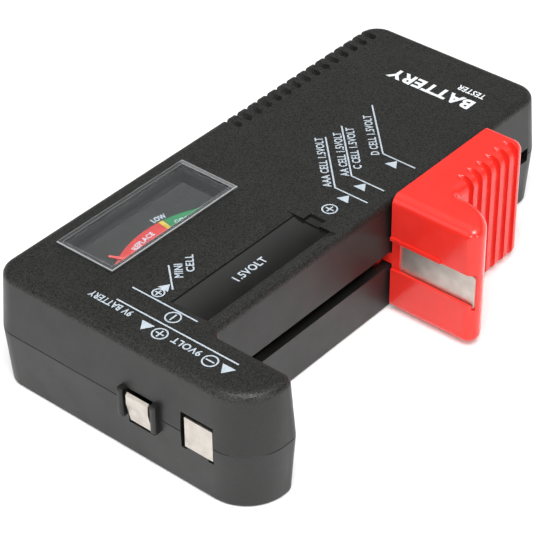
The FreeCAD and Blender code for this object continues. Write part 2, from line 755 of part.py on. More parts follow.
def make_positive_contact():
    """A spring strip that leans out of the end face between the fins and ends in a free edge."""
    body = new_body("positive_contact")
    sketch = sketch_on(body, "bow_sketch", "XZ_Plane", "-plus_y - plus_strip_width / 2")
    face = "-case_length / 2"
    low = "plus_bottom + 0.15"
    polygon(sketch, [
        (face + " + 4.2", low),
        (face + " + 0.7", low),
        (face + " + 0.2", low + " + 0.5"),
        (face + " - plus_bow", "plus_strip_top - 2.4"),
        (face + " - plus_bow", "plus_strip_top - 0.5"),
        (face + " - 0.35", "plus_strip_top"),
        (face + " - 0.05", "plus_strip_top - 0.25"),
        (face + " - plus_bow + strip_thickness", "plus_strip_top - 0.65"),
        (face + " - plus_bow + strip_thickness", "plus_strip_top - 2.35"),
        (face + " + 0.2 + strip_thickness", low + " + 0.6"),
        (face + " + 0.8", low + " + strip_thickness"),
        (face + " + 4.2", low + " + strip_thickness"),
    ])
    pad(body, sketch, "bow", "plus_strip_width")
    box(body, "Additive", "solder_tag", face + " + 3.8", "plus_y - 1", low, "2.4", "2", "strip_thickness")


def make_dial():
    body = new_body("dial_plate")
    box(body, "Additive", "plate", "frame_x", "dial_y", "dial_bottom", "frame_length",
        "frame_y + frame_width - dial_y", "dial_thickness")
    cylinder(body, "Subtractive", "notch", "pivot_x", "pivot_y", "dial_bottom - 1", "dial_notch + 1.5", "3")


def make_meter_frame():
    body = new_body("meter_frame")
    base_top = "frame_bottom + frame_base"
    box(body, "Additive", "base", "frame_x", "frame_y", "frame_bottom", "frame_length", "frame_width", "frame_base")
    for name, x in (("near", "frame_x"), ("far", "frame_x + frame_length - frame_wall")):
        box(body, "Additive", "wall_" + name, x, "dial_y", base_top + " - 0.5", "frame_wall",
            "frame_y + frame_width - dial_y", "dial_bottom - frame_bottom - frame_base + 0.5")
    box(body, "Additive", "wall_back", "frame_x", "frame_y + frame_width - frame_wall", base_top + " - 0.5",
        "frame_length", "frame_wall", "dial_bottom - frame_bottom - frame_base + 0.5")
    cylinder(body, "Additive", "seat", "pivot_x", "pivot_y", base_top + " - 0.5", "yoke_outer",
             "yoke_bottom - frame_bottom - frame_base + 0.5")
    cylinder(body, "Subtractive", "seat_inside", "pivot_x", "pivot_y", base_top, "yoke_inner + 0.1",
             "yoke_bottom - frame_bottom")
    cylinder(body, "Subtractive", "bearing_hole", "pivot_x", "pivot_y", "frame_bottom - 1", "bearing_radius", "3")
    for name, sign in (("near", "-"), ("far", "+")):
        middle_x = "pivot_x %s bridge_reach" % sign
        box(body, "Additive", "post_" + name, middle_x + " - 1.5", "pivot_y - 1.7", base_top + " - 0.5", "3",
            "3.4", "bridge_bottom - frame_bottom - frame_base + 0.5")
        cylinder(body, "Subtractive", "post_hole_" + name, middle_x, "pivot_y", "bridge_bottom - 3", "0.6", "4")
    for name, x in terminal_places():
        cylinder(body, "Subtractive", "terminal_hole_" + name, x, "terminal_y", "frame_bottom - 1", "0.8", "4")


def terminal_places():
    return [("near", "frame_x + terminal_inset"), ("far", "frame_x + frame_length - terminal_inset")]


def part_cylinder(name, x, y, z, radius, height):
    item = doc.addObject("Part::Cylinder", name)
    bind(item, Radius=radius, Height=height)
    place(item, x, y, z)
    return item


def part_box(name, x, y, z, length, width, height):
    item = doc.addObject("Part::Box", name)
    bind(item, Length=length, Width=width, Height=height)
    place(item, x, y, z)
    return item


def cut(name, base, tool):
    item = doc.addObject("Part::Cut", name)
    item.Base = base
    item.Tool = tool
    return item


def fuse(name, items):
    item = doc.addObject("Part::MultiFuse", name)
    item.Shapes = items
    return item


def group(name, items):
    """One node that holds several separate solids."""
    item = doc.addObject("Part::Compound", name)
    item.Links = items
    return item


def label(item, name):
    item.Label = name
    return item


def screw(name, x, y, head_z, head_radius, head_height, shank_radius, length, upward):
    """A round-headed screw whose head's seat is at head_z; upward says which way its tip points."""
    if upward:
        head = part_cylinder(name + "_head", x, y, "%s - %s" % (head_z, head_height), head_radius, head_height)
        shank = part_cylinder(name + "_shank", x, y, head_z, shank_radius, length)
        recess_z = "%s - %s - 0.1" % (head_z, head_height)
    else:
        head = part_cylinder(name + "_head", x, y, head_z, head_radius, head_height)
        shank = part_cylinder(name + "_shank", x, y, "%s - %s" % (head_z, length), shank_radius, length)
        recess_z = "%s + %s * 0.4" % (head_z, head_height)
    solid = fuse(name + "_solid", [head, shank])
    across = part_box(name + "_recess_a", "%s - %s * 0.6" % (x, head_radius), "%s - %s * 0.12" % (y, head_radius),
                      recess_z, "%s * 1.2" % head_radius, "%s * 0.24" % head_radius, "%s * 0.6 + 0.1" % head_height)
    along = part_box(name + "_recess_b", "%s - %s * 0.12" % (x, head_radius), "%s - %s * 0.6" % (y, head_radius),
                     recess_z, "%s * 0.24" % head_radius, "%s * 1.2" % head_radius, "%s * 0.6 + 0.1" % head_height)
    return cut(name, solid, fuse(name + "_recess", [across, along]))


def make_screws():
    case_screws = []
    for name, x, y, radius in screw_places():
        case_screws.append(screw("screw_" + name, x, y, "head_seat", "head_radius", "1.5", "screw_radius - 0.1",
                                 "screw_tip - head_seat", True))
    label(group("case_screws", case_screws), "case_screws")
    rail_screws = []
    for name, x in rail_tabs():
        rail_screws.append(screw("rail_screw_" + name, x + " + rail_tab / 2", rail_screw_y(), rail_top(), "1.5",
                                 "0.8", "0.6", "1.6", False))
    label(group("rail_screws", rail_screws), "rail_screws")
    bridge_screws = []
    for name, sign in (("near", "-"), ("far", "+")):
        bridge_screws.append(screw("bridge_screw_" + name, "(pivot_x %s bridge_reach)" % sign, "pivot_y",
                                   "bridge_bottom + bridge_thickness", "1.1", "0.6", "0.55", "3", False))
    label(group("bridge_screws", bridge_screws), "bridge_screws")


def make_movement_magnet():
    core_tall = "core_top - core_bottom"
    core = part_cylinder("core", "pivot_x", "pivot_y", "core_bottom", "core_radius", core_tall)
    label(core, "core_magnet")
    yoke_tall = "yoke_top - yoke_bottom"
    ring = part_cylinder("yoke_outside", "pivot_x", "pivot_y", "yoke_bottom", "yoke_outer", yoke_tall)
    hole = part_cylinder("yoke_inside", "pivot_x", "pivot_y", "yoke_bottom - 1", "yoke_inner", yoke_tall + " + 2")
    label(cut("yoke", ring, hole), "yoke_ring")
    spacers = []
    for name, turn in (("back", 75.0), ("front", 255.0)):
        outside = part_cylinder("spacer_outside_" + name, "pivot_x", "pivot_y", "core_bottom + 2", "yoke_inner", "3")
        inside = part_cylinder("spacer_inside_" + name, "pivot_x", "pivot_y", "core_bottom + 1", "core_radius", "5")
        outside.Angle = 30.0
        outside.Placement.Rotation = FreeCAD.Rotation(Vector(0, 0, 1), turn)
        place(outside, "pivot_x", "pivot_y", "core_bottom + 2")
        spacers.append(cut("spacer_" + name, outside, inside))
    label(group("spacers", spacers), "core_spacers")


def coil_loop(name, inner_half, thickness, low, high):
    """An upright rectangular loop about the pivot, turned to where the coil rests."""
    depth = "coil_depth"
    outside = part_box(name + "_outside", "0", "0", "0", "2 * (%s + %s)" % (inner_half, thickness), depth,
                       "%s - (%s)" % (high, low))
    inside = part_box(name + "_inside", "0", "0", "0", "2 * (%s)" % inner_half, depth + " + 2",
                      "%s - (%s) - 2 * %s" % (high, low, thickness))
    place(outside, "-(%s + %s)" % (inner_half, thickness), "-coil_depth / 2", low)
    place(inside, "-(%s)" % inner_half, "-coil_depth / 2 - 1", "%s + %s" % (low, thickness))
    loop = cut(name, outside, inside)
    loop.Placement.Rotation = FreeCAD.Rotation(Vector(0, 0, 1), size("coil_lead"))
    place(loop, "pivot_x", "pivot_y", "0")
    return loop


def make_coil():
    label(coil_loop("former", "coil_inner", "former_thickness", "coil_bottom + winding_thickness",
                    "coil_top - winding_thickness"), "coil_former")
    label(coil_loop("winding", "coil_inner + former_thickness", "winding_thickness", "coil_bottom", "coil_top"),
          "coil_winding")
    lower = part_cylinder("pivot_lower", "pivot_x", "pivot_y", "frame_bottom + 2", "pivot_radius",
                          "coil_bottom - frame_bottom - 2")
    upper = part_cylinder("pivot_upper", "pivot_x", "pivot_y", "coil_top", "pivot_radius",
                          "bridge_bottom + 0.1 - coil_top")
    label(group("pivots", [lower, upper]), "coil_pivots")


def make_bearings():
    """Two threaded bearing screws with a blind cup for the pivot's end."""
    lower = fuse("lower_bearing_solid", [
        part_cylinder("lower_bearing_stem", "pivot_x", "pivot_y", "frame_bottom - 0.6", "bearing_radius",
                      "2.9"),
        part_cylinder("lower_bearing_head", "pivot_x", "pivot_y", "frame_bottom - 0.6", "bearing_radius + 0.5",
                      "0.6")])
    lower_cup = part_cylinder("lower_cup", "pivot_x", "pivot_y", "frame_bottom + 1.9", "pivot_radius + 0.05", "2")
    label(cut("lower_bearing_cut", lower, lower_cup), "lower_bearing")
    upper = part_cylinder("upper_bearing_stem", "pivot_x", "pivot_y", "bridge_bottom - 0.35", "bearing_radius", "1.75")
    upper_cup = part_cylinder("upper_cup", "pivot_x", "pivot_y", "bridge_bottom - 1", "pivot_radius + 0.05", "1.2")
    label(cut("upper_bearing_cut", upper, upper_cup), "upper_bearing")


def make_bridge():
    body = new_body("bearing_bridge")
    box(body, "Additive", "bar", "pivot_x - bridge_reach - 1.7", "pivot_y - 1.7", "bridge_bottom",
        "2 * (bridge_reach + 1.7)", "3.4", "bridge_thickness")
    cylinder(body, "Subtractive", "bearing_hole", "pivot_x", "pivot_y", "bridge_bottom - 1", "bearing_radius", "3")
    for name, sign in (("near", "-"), ("far", "+")):
        cylinder(body, "Subtractive", "screw_hole_" + name, "pivot_x %s bridge_reach" % sign, "pivot_y",
                 "bridge_bottom - 1", "0.7", "3")


def make_pointer():
    """A sheet pointer: hub, tail, an arm that steps up over the dial's edge, and a tapered tip."""
    hub = size("hub_radius")
    sheet_thick = size("pointer_sheet")
    low = size("pointer_low")
    high = size("pointer_high")
    half = size("pointer_width") / 2.0
    reach = size("pointer_length")
    step_start = 7.0
    step_end = 9.2
    profile = [(-size("tail_length"), low), (step_start, low), (step_end, high), (reach, high),
               (reach, high + sheet_thick), (step_end - 0.1, high + sheet_thick),
               (step_start - 0.1, low + sheet_thick), (-size("tail_length"), low + sheet_thick)]
    side = Part.makePolygon([Vector(-half, y, z) for y, z in profile + profile[:1]])
    arm = Part.Face(side).extrude(Vector(2.0 * half, 0, 0))
    tip_half = 0.2
    taper_start = reach - 9.0
    for sign in (-1.0, 1.0):
        trim = Part.makePolygon([Vector(sign * tip_half, reach + 1, high - 1), Vector(sign * half, taper_start, high - 1),
                                 Vector(sign * 3.0, taper_start, high - 1), Vector(sign * 3.0, reach + 1, high - 1),
                                 Vector(sign * tip_half, reach + 1, high - 1)])
        arm = arm.cut(Part.Face(trim).extrude(Vector(0, 0, 3)))
    ring = Part.makeCylinder(hub, 0.5, Vector(0, 0, low - 0.1))
    hole = Part.makeCylinder(size("pivot_radius"), 2.0, Vector(0, 0, low - 1.0))
    shape = arm.fuse(ring).cut(hole).removeSplitter()
    pointer = doc.addObject("Part::Feature", "pointer")
    pointer.Shape = shape
    pointer.Placement = FreeCAD.Placement(Vector(size("pivot_x"), size("pivot_y"), 0.0),
                                          FreeCAD.Rotation(Vector(0, 0, 1), size("pointer_rest")))
    label(pointer, "pointer")


def make_balance_weights():
    """Small brass sleeves on the pointer's tail, one above and one below the sheet."""
    tail = size("tail_length") - 0.8
    turn = math.radians(size("pointer_rest"))
    x = size("pivot_x") + tail * math.sin(turn)
    y = size("pivot_y") - tail * math.cos(turn)
    low = size("pointer_low")
    solids = [Part.makeCylinder(0.7, 0.6, Vector(x, y, low - 0.6)),
              Part.makeCylinder(0.7, 0.25, Vector(x, y, low + size("pointer_sheet")))]
    weights = doc.addObject("Part::Feature", "weights")
    weights.Shape = Part.makeCompound(solids)
    label(weights, "balance_weights")


def make_hairspring(name, z, turns, outer):
    """A flat spiral of half rings; each half turn is a little larger than the one before."""
    ribbon = 0.12
    tall = 0.3
    start = size("pivot_radius") + 0.15
    growth = (outer - start) / (2.0 * turns)
    solid = Part.makeCylinder(start, tall, Vector(0, 0, 0))
    solid = solid.cut(Part.makeCylinder(size("pivot_radius"), tall, Vector(0, 0, 0)))
    centre = 0.0
    radius = start
    for index in range(2 * turns):
        side = 1.0 if index % 2 else -1.0
        radius += growth / 2.0
        centre += side * growth / 2.0
        direction = Vector(0, 0, 1)
        begin = 180.0 if index % 2 else 0.0
        ring = Part.makeCylinder(radius, tall, Vector(centre, 0, 0), direction, 180.0)
        hole = Part.makeCylinder(radius - ribbon, tall, Vector(centre, 0, 0), direction, 180.0)
        half = ring.cut(hole)
        half.rotate(Vector(centre, 0, 0), Vector(0, 0, 1), begin)
        solid = solid.fuse(half)
    spring = doc.addObject("Part::Feature", name)
    spring.Shape = solid.removeSplitter()
    spring.Placement = FreeCAD.Placement(Vector(size("pivot_x"), size("pivot_y"), z), FreeCAD.Rotation())
    label(spring, name)


def make_terminals():
    posts = []
    for name, x in terminal_places():
        stem = part_cylinder("terminal_stem_" + name, x, "terminal_y", "frame_bottom - 1.8", "0.8",
                             "frame_base + 4.2")
        foot = part_cylinder("terminal_foot_" + name, x, "terminal_y", "frame_bottom - 1.8",
                             "terminal_foot_radius", "1.8")
        posts.append(fuse("terminal_" + name, [stem, foot]))
    label(group("terminals", posts), "meter_terminals")


def tube_through(points, radius, bend):
    """A round wire along straight runs joined by tangent arcs."""
    path = []
    start = points[0]
    for index in range(1, len(points) - 1):
        corner = points[index]
        arriving = (corner - points[index - 1]).normalize()
        leaving = (points[index + 1] - corner).normalize()
        turn = arriving.getAngle(leaving)
        setback = bend * math.tan(turn / 2.0)
        enter = corner - arriving * setback
        leave = corner + leaving * setback
        inward = (leaving - arriving).normalize()
        centre = corner + inward * (bend / math.cos(turn / 2.0))
        halfway = centre + (corner - centre).normalize() * bend
        path.append(Part.LineSegment(start, enter).toShape())
        path.append(Part.Arc(enter, halfway, leave).toShape())
        start = leave
    path.append(Part.LineSegment(start, points[-1]).toShape())
    wire = Part.Wire(path)
    direction = (points[1] - points[0]).normalize()
    section = Part.Wire([Part.makeCircle(radius, points[0], direction)])
    solid = wire.makePipeShell([section], True, False)
    expected = math.pi * radius * radius * wire.Length
    if abs(solid.Volume - expected) > 0.02 * expected:
        raise RuntimeError("a wire's volume is not its section times its length")
    return solid


def make_lead(name, points, bend=1.6):
    lead = doc.addObject("Part::Feature", name)
    lead.Shape = tube_through([Vector(*point) for point in points], size("wire_radius"), bend)
    label(lead, name)


def make_resistor(name, x, y, z, direction, lead_length):
    """An axial resistor: a body with end bulges and a lead out of each end."""
    half = size("resistor_length") / 2.0
    radius = size("resistor_radius")
    cap = 1.6
    shape = Part.makeCylinder(radius * 0.86, 2.0 * half - cap, Vector(-half + cap / 2.0, 0, 0), Vector(1, 0, 0))
    for sign in (-1.0, 1.0):
        bulge = Part.makeCylinder(radius, cap, Vector(sign * (half - cap / 2.0) - cap / 2.0, 0, 0), Vector(1, 0, 0))
        bulge = bulge.makeFillet(0.5, [edge for edge in bulge.Edges if edge.Length < 2.1 * math.pi * radius
                                       and edge.isClosed()])
        shape = shape.fuse(bulge)
    wire = Part.makeCylinder(size("resistor_lead"), 2.0 * (half + lead_length), Vector(-half - lead_length, 0, 0),
                             Vector(1, 0, 0))
    resistor = doc.addObject("Part::Feature", name)
    resistor.Shape = shape.fuse(wire).removeSplitter()
    resistor.Placement = FreeCAD.Placement(Vector(x, y, z), FreeCAD.Rotation(Vector(0, 0, 1), direction))
    label(resistor, name)


def make_circuit():
    """Three resistors and three leads, soldered between the contacts and the meter's terminals."""
    near_x = size("frame_x") + size("terminal_inset")
    far_x = size("frame_x") + size("frame_length") - size("terminal_inset")
    row = size("terminal_y")
    foot = size("terminal_foot_radius")
    half = size("resistor_length") / 2.0
    under = size("frame_bottom") - 1.4
    beside = size("frame_bottom") - 0.4
    make_resistor("load_resistor", (near_x + far_x) / 2.0, row, under, 0.0,
                  (far_x - near_x) / 2.0 - foot - half)
    short_lead = 3.4
    make_resistor("nine_volt_resistor", far_x, row + foot + short_lead + half, under, 90.0, short_lead)
    meter_lead = 6.6
    make_resistor("meter_resistor", far_x + foot + meter_lead + half, row, beside, 0.0, meter_lead)

    wire = size("wire_radius")
    minus_tag_z = size("minus_bottom") + 0.1
    plus_tag_z = size("plus_bottom") + 0.15
    floor = size("wall") + wire
    resistor_end = row + foot + 2.0 * (short_lead + half)
    make_lead("lead_negative", [
        (-47.8, -16.6, minus_tag_z - wire),
        (-47.8, -11.0, minus_tag_z - wire),
        (-46.4, -6.5, 4.4),
        (-44.6, 2.0, 4.0),
        (near_x - foot, row, under + 0.2),
    ])
    make_lead("lead_nine_volt", [
        (-49.0, -6.4, plus_tag_z - wire),
        (-49.0, 2.0, plus_tag_z - wire),
        (-48.6, 9.5, 3.4),
        (-42.0, resistor_end - 1.2, floor + 0.5),
        (-27.0, resistor_end - 0.2, floor + 0.6),
        (far_x - size("resistor_lead"), resistor_end - 0.4, under),
    ])
    rail_edge = size("rail_y") + size("rail_width") + size("rail_tab")
    tab_x = size("rail_x") + size("rail_length") - size("rail_tab") / 2.0
    make_lead("lead_rail", [
        (tab_x, rail_edge, floor + 0.05),
        (tab_x - 0.4, rail_edge + 6.0, floor + 0.3),
        (22.0, row + 2.6, floor + 0.8),
        (far_x + foot + 2.0 * (meter_lead + half), row, beside),
    ], bend=3.0)


def main():
    make_upper_shell()
    make_lower_shell()
    make_window()
    make_slider()
    make_slider_contact()
    make_contact_rail()
    make_negative_contact()
    make_positive_contact()
    make_dial()
    make_meter_frame()
    make_bridge()
    make_screws()
    make_movement_magnet()
    make_coil()
    make_bearings()
    make_pointer()
    make_balance_weights()
    make_hairspring("lower_hairspring", 7.75, 3, 3.2)
    make_hairspring("upper_hairspring", 18.25, 3, 3.2)
    make_terminals()
    make_circuit()
    doc.recompute()


main()

# every sub-part is an object with one of these labels
NODES = [
    "upper_shell", "lower_shell", "case_screws", "meter_window", "slider", "slider_contact", "contact_rail",
    "rail_screws", "negative_contact", "positive_contact", "dial_plate", "meter_frame", "bearing_bridge",
    "bridge_screws", "core_magnet", "yoke_ring", "core_spacers", "coil_former", "coil_winding", "coil_pivots",
    "lower_bearing", "upper_bearing", "pointer", "balance_weights", "lower_hairspring", "upper_hairspring",
    "meter_terminals", "load_resistor", "nine_volt_resistor", "meter_resistor", "lead_negative", "lead_nine_volt",
    "lead_rail",
]

for item in doc.Objects:
    if "Invalid" in item.State or "Error" in item.State:
        raise RuntimeError("failed object: %s (%s)" % (item.Name, item.State))
for name in NODES:
    item = doc.getObjectsByLabel(name)[0]
    shape = item.Shape
    if shape.isNull() or not shape.isValid():
        raise RuntimeError("bad shape: " + name)
    shape.exportStep("parts/%s.step" % name)
    bounds = shape.BoundBox
    print("%-18s solids %d volume %10.2f  x %7.2f %7.2f  y %7.2f %7.2f  z %6.2f %6.2f" % (
        name, len(shape.Solids), shape.Volume, bounds.XMin, bounds.XMax, bounds.YMin, bounds.YMax,
        bounds.ZMin, bounds.ZMax))
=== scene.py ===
import json
import math

import bpy
from mathutils import Matrix, Vector


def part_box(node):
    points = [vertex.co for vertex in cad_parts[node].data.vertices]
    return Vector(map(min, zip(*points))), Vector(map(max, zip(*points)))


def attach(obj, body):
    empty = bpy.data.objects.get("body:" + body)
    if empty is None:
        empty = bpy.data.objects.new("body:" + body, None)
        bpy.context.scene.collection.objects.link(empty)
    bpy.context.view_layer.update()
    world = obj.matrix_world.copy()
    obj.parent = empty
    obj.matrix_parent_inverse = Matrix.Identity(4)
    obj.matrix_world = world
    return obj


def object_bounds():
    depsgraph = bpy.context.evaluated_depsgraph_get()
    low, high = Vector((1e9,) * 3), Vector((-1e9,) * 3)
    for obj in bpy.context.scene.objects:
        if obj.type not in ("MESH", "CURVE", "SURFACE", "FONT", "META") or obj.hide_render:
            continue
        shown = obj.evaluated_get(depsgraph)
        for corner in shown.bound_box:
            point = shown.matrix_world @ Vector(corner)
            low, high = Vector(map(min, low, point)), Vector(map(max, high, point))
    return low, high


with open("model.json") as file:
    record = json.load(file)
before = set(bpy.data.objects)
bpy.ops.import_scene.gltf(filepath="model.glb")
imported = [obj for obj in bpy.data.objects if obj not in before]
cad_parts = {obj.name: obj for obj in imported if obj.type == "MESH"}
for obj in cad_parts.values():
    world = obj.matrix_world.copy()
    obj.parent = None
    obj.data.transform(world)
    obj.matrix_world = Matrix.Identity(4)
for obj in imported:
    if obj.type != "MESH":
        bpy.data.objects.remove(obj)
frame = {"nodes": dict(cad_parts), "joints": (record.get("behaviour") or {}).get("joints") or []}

# A slide-arm battery tester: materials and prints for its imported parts, and a small studio.
# Lengths are in metres; MM turns millimetres into metres.
cad_low, cad_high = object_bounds()
cad_nodes = frame["nodes"]
MM = 0.001


# ---------------------------------------------------------------- places, read from the frame

_, case_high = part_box("upper_shell")
window_low, window_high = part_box("meter_window")
_, dial_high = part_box("dial_plate")
pointer_joint = next(joint for joint in frame["joints"] if joint["name"] == "pointer_turn")
pivot = Vector(pointer_joint["pos_m"])

case_top = case_high.z
table_top = cad_low.z
dial_top = dial_high.z

INK = 0.03 * MM            # thickness of a printed layer
TROUGH_DEPTH = 0.69 * MM   # how far the middle of the cell trough lies under the case top
TROUGH_X = (-40.6 * MM, -6.0 * MM)      # with the nub at its far end
TROUGH_STRAIGHT_END = -8.0 * MM         # where its long edges end and the nub starts
TROUGH_Y = (-8.65 * MM, -0.55 * MM)
trough_floor = case_top - TROUGH_DEPTH


# ---------------------------------------------------------------- camera, floor and light

CAMERA_TARGET = Vector((-11.4, 2.72, 12.5)) * MM
CAMERA_DISTANCE = 392 * MM
CAMERA_AZIMUTH = math.radians(-49.365)
CAMERA_ELEVATION = math.radians(37.224)
CAMERA_ROLL = math.radians(-0.709)
CAMERA_LENS = 145.65       # on Blender's 36 mm sensor
CAMERA_RANGE = (0.02, 20)  # clipping, metres

# (height, brightness) of the surround: a white horizon, a darker belt, a bright ceiling
SKY = [(0.0, 1.0), (0.16, 1.0), (0.3, 0.10), (0.46, 0.14), (0.62, 0.46), (0.85, 0.95)]

# square soft boxes: place, side in metres, power in watts
SOFTBOXES = {
    "overhead_softbox": ((-0.22, -0.22, 0.62), 0.5, 5.2),
    "side_softbox": ((-0.55, 0.25, 0.3), 0.3, 0.3),
}

# three far lamps for the glints on the slider's rounded nose
GLINTS = {
    "lamp_high": (-0.31, -0.26, 0.91),
    "lamp_left": (-0.93, -0.17, 0.33),
    "lamp_right": (-0.31, -0.9, 0.33),
}
GLINT_SIDE = 0.08
GLINT_POWER = 2.2

FLOOR_HALF = 2.0
FLOOR_WHITE = (0.86, 0.86, 0.86, 1)
FLOOR_GLOW = 0.14          # keeps the paper white up to the horizon


def make_camera():
    """The camera, placed by its angles around the point that it looks at."""
    back = Vector((
        math.sin(CAMERA_AZIMUTH) * math.cos(CAMERA_ELEVATION),
        -math.cos(CAMERA_AZIMUTH) * math.cos(CAMERA_ELEVATION),
        math.sin(CAMERA_ELEVATION),
    ))
    camera = bpy.data.objects.new("camera", bpy.data.cameras.new("camera"))
    bpy.context.scene.collection.objects.link(camera)
    camera.location = CAMERA_TARGET + back * CAMERA_DISTANCE
    level = (-back).to_track_quat("-Z", "Y").to_matrix()
    camera.rotation_euler = (level @ Matrix.Rotation(CAMERA_ROLL, 3, "Z")).to_euler()
    camera.data.lens = CAMERA_LENS
    camera.data.clip_start, camera.data.clip_end = CAMERA_RANGE
    bpy.context.scene.camera = camera


def make_area_light(name, place, side, power):
    """A square light at place, turned towards the part."""
    light = bpy.data.lights.new(name, "AREA")
    light.shape = "SQUARE"
    light.size = side
    light.energy = power
    holder = bpy.data.objects.new(name, light)
    bpy.context.scene.collection.objects.link(holder)
    holder.location = place
    holder.rotation_euler = (-Vector(place)).to_track_quat("-Z", "Y").to_euler()
    return holder


def grey(level):
    """An opaque grey."""
    return (level, level, level, 1)


def make_surround():
    """The studio around the part: one brightness for each height."""
    world = bpy.data.worlds.new("white_studio")
    bpy.context.scene.world = world
    world.use_nodes = True
    tree = world.node_tree
    sky = tree.nodes.new("ShaderNodeTexCoord")
    split = tree.nodes.new("ShaderNodeSeparateXYZ")
    tree.links.new(sky.outputs["Generated"], split.inputs["Vector"])
    ramp = tree.nodes.new("ShaderNodeValToRGB")
    stops = ramp.color_ramp.elements
    for stop, (height, level) in zip(stops, (SKY[0], SKY[-1])):
        stop.position, stop.color = height, grey(level)
    for height, level in SKY[1:-1]:
        stops.new(height).color = grey(level)
    tree.links.new(split.outputs["Z"], ramp.inputs["Fac"])
    tree.links.new(ramp.outputs["Color"], tree.nodes["Background"].inputs["Color"])


def make_lights():
    """The soft boxes, and small lamps that only glint."""
    for name, (place, side, power) in SOFTBOXES.items():
        make_area_light(name, place, side, power)
    for name, place in GLINTS.items():
        lamp = make_area_light(name, place, GLINT_SIDE, GLINT_POWER)
        lamp.visible_diffuse = False


def make_floor():
    """The white paper that the part lies on."""
    signs = ((-1, -1), (1, -1), (1, 1), (-1, 1))
    corners = [(x * FLOOR_HALF, y * FLOOR_HALF, table_top) for x, y in signs]
    mesh = bpy.data.meshes.new("floor")
    mesh.from_pydata(corners, [], [(0, 1, 2, 3)])
    floor = bpy.data.objects.new("floor", mesh)
    bpy.context.scene.collection.objects.link(floor)
    paper = bpy.data.materials.new("white_paper")
    paper.use_nodes = True
    shader = paper.node_tree.nodes["Principled BSDF"]
    shader.inputs["Base Color"].default_value = FLOOR_WHITE
    shader.inputs["Roughness"].default_value = 0.9
    shader.inputs["Specular IOR Level"].default_value = 0.1
    shader.inputs["Emission Color"].default_value = grey(1)
    shader.inputs["Emission Strength"].default_value = FLOOR_GLOW
    floor.data.materials.append(paper)


# ---------------------------------------------------------------- material tools

def new_material(name):
    """A new material's node tree and its Principled shader."""
    material = bpy.data.materials.new(name)
    material.use_nodes = True
    return material, material.node_tree, material.node_tree.nodes["Principled BSDF"]


def place_of(tree, stretch=(1, 1, 1)):
    """The point on the piece, in metres, scaled along each axis."""
    coordinates = tree.nodes.new("ShaderNodeTexCoord")
    mapping = tree.nodes.new("ShaderNodeMapping")
    mapping.inputs["Scale"].default_value = stretch
    tree.links.new(coordinates.outputs["Object"], mapping.inputs["Vector"])
    return mapping.outputs["Vector"]


def noise(tree, size, detail=2.0, stretch=(1, 1, 1)):
    """Cloudy noise from 0 to 1 whose blobs are about size metres across."""
    texture = tree.nodes.new("ShaderNodeTexNoise")
    texture.inputs["Scale"].default_value = 1 / size
    texture.inputs["Detail"].default_value = detail
    tree.links.new(place_of(tree, stretch), texture.inputs["Vector"])
    return texture.outputs["Fac"]


def specks(tree, size):
    """A random number from 0 to 1 for each grain about size metres across."""
    texture = tree.nodes.new("ShaderNodeTexVoronoi")
    texture.inputs["Scale"].default_value = 1 / size
    tree.links.new(place_of(tree), texture.inputs["Vector"])
    split = tree.nodes.new("ShaderNodeSeparateColor")
    tree.links.new(texture.outputs["Color"], split.inputs["Color"])
    return split.outputs["Red"]


def cells(tree, size):
    """Rounded pits about size metres across."""
    texture = tree.nodes.new("ShaderNodeTexVoronoi")
    texture.feature = "SMOOTH_F1"
    texture.inputs["Scale"].default_value = 1 / size
    tree.links.new(place_of(tree), texture.inputs["Vector"])
    return texture.outputs["Distance"]


def between(tree, value, low, high, start=0.3, end=0.7):
    """value from start to end, turned into a number from low to high."""
    mapped = tree.nodes.new("ShaderNodeMapRange")
    mapped.inputs["From Min"].default_value = start
    mapped.inputs["From Max"].default_value = end
    mapped.inputs["To Min"].default_value = low
    mapped.inputs["To Max"].default_value = high
    tree.links.new(value, mapped.inputs["Value"])
    return mapped.outputs["Result"]


def blend_colours(tree, value, first, second):
    """first where value is 0, second where it is 1."""
    mixed = tree.nodes.new("ShaderNodeMix")
    mixed.data_type = "RGBA"
    mixed.inputs["A"].default_value = (*first, 1)
    mixed.inputs["B"].default_value = (*second, 1)
    tree.links.new(value, mixed.inputs["Factor"])
    return mixed.outputs["Result"]


def combine(tree, operation, first, second):
    """A Math node on two values, each of them a socket or a number."""
    node = tree.nodes.new("ShaderNodeMath")
    node.operation = operation
    for socket, value in zip(node.inputs, (first, second)):
        if isinstance(value, bpy.types.NodeSocket):
            tree.links.new(value, socket)
        else:
            socket.default_value = value
    return node.outputs["Value"]


def bump(tree, height, depth, strength=1.0, under=None):
    """A normal roughened by height, which is depth metres deep."""
    node = tree.nodes.new("ShaderNodeBump")
    node.inputs["Distance"].default_value = depth
    node.inputs["Strength"].default_value = strength
    tree.links.new(height, node.inputs["Height"])
    if under is not None:
        tree.links.new(under, node.inputs["Normal"])
    return node.outputs["Normal"]


def product(tree, *values):
    """All values multiplied together."""
    result = values[0]
    for value in values[1:]:
        result = combine(tree, "MULTIPLY", result, value)
    return result


def axis_of(tree, axis):
    """The piece's own x, y or z in metres."""
    split = tree.nodes.new("ShaderNodeSeparateXYZ")
    tree.links.new(place_of(tree), split.inputs["Vector"])
    return split.outputs[axis]


def within(tree, axis, low, high):
    """1 where the piece's own axis lies between low and high, else 0."""
    value = axis_of(tree, axis)
    above = combine(tree, "GREATER_THAN", value, low)
    return product(tree, above, combine(tree, "LESS_THAN", value, high))


# ---------------------------------------------------------------- materials


def trough_mask(tree):
    """1 in the cell trough, else 0."""
    across = product(tree, within(tree, "X", *TROUGH_X), within(tree, "Y", *TROUGH_Y))
    return product(tree, across, within(tree, "Z", case_top - MM, case_top - 0.1 * MM))


